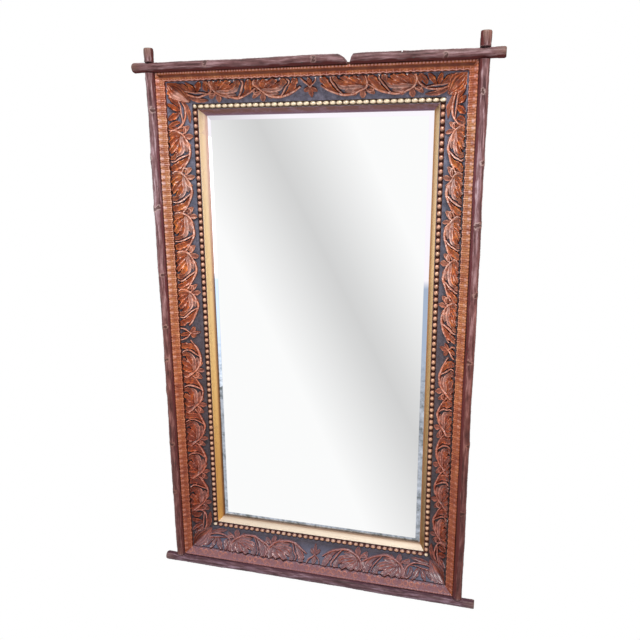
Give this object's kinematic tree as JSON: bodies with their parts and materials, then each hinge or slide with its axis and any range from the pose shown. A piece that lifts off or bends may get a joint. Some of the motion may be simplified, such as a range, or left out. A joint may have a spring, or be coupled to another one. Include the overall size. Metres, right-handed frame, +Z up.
{
  "type": "carved wooden wall mirror",
  "caption": "Tall wall mirror: bevelled plate in a deep scooped frame carved with a scrolling vine, with a gilt slip, beads and crossed twigs at the corners.",
  "frame": {"origin": "middle of the visible glass, on the plane of the wall that the back edges touch", "axes": "+X to the right as seen from the front, +Y into the wall, +Z up"},
  "size_m": [0.9208, 0.1162, 1.4677],
  "materials": {
    "base_wood": "planed pine, unfinished and darkened with age",
    "case_wood": "stained softwood boards, dull",
    "frieze_ground": "slate blue-grey paint, stippled, dull",
    "leaf_moulding_wood": "orange-brown stain under shellac",
    "carved_wood": "carved and shellacked, glossy orange-brown",
    "gilt_beads": "water gilding over bole, rubbed",
    "gilt_slip": "water gilding over bole, a little worn",
    "twig_bark": "smooth purple-grey bark with pale knots",
    "iron_nails": "dark iron",
    "mirror_glass": "silvered plate glass with a bevelled edge",
    "backing_wood": "thin rough-sawn pine",
    "block_wood": "pine blocks",
    "hanger_steel": "zinc-plated steel, dulled",
    "screw_brass": "brass, dulled"
  },
  "bodies": {
    "frame": {"base_top": "base_wood", "base_right": "base_wood", "base_bottom": "base_wood", "base_left": "base_wood", "case_top": "case_wood", "case_right": "case_wood", "case_bottom": "case_wood", "case_left": "case_wood", "cove_top": "frieze_ground", "cove_right": "frieze_ground", "cove_bottom": "frieze_ground", "cove_left": "frieze_ground", "leaf_moulding_top": "leaf_moulding_wood", "leaf_moulding_right": "leaf_moulding_wood", "leaf_moulding_bottom": "leaf_moulding_wood", "leaf_moulding_left": "leaf_moulding_wood", "carving_top": "carved_wood", "carving_right": "carved_wood", "carving_bottom": "carved_wood", "carving_left": "carved_wood", "corner_leaf_top_right": "carved_wood", "corner_leaf_bottom_right": "carved_wood", "corner_leaf_bottom_left": "carved_wood", "corner_leaf_top_left": "carved_wood", "beads_top": "gilt_beads", "beads_right": "gilt_beads", "beads_bottom": "gilt_beads", "beads_left": "gilt_beads", "slip_top": "gilt_slip", "slip_right": "gilt_slip", "slip_bottom": "gilt_slip", "slip_left": "gilt_slip", "twig_top": "twig_bark", "twig_right": "twig_bark", "twig_bottom": "twig_bark", "twig_left": "twig_bark", "twig_nails": "iron_nails", "glass": "mirror_glass", "glass_blocks": "block_wood", "backboard_top": "backing_wood", "backboard_middle": "backing_wood", "backboard_bottom": "backing_wood", "backboard_pins": "iron_nails", "corner_blocks": "block_wood", "hanger_strap_right": "hanger_steel", "hanger_strap_left": "hanger_steel", "hanger_screws": "screw_brass"},
    "ring_right": {"hanger_ring_right": "hanger_steel"},
    "ring_left": {"hanger_ring_left": "hanger_steel"}
  },
  "joints": [
    {"name": "right_ring_swing", "type": "hinge", "parent": "frame", "child": "ring_right", "pos_m": [0.35595, -0.0048, 0.33], "axis": [1, 0, 0], "range_deg": [0, 180]},
    {"name": "left_ring_swing", "type": "hinge", "parent": "frame", "child": "ring_left", "pos_m": [-0.35595, -0.0048, 0.33], "axis": [1, 0, 0], "range_deg": [0, 180]}
  ]
}
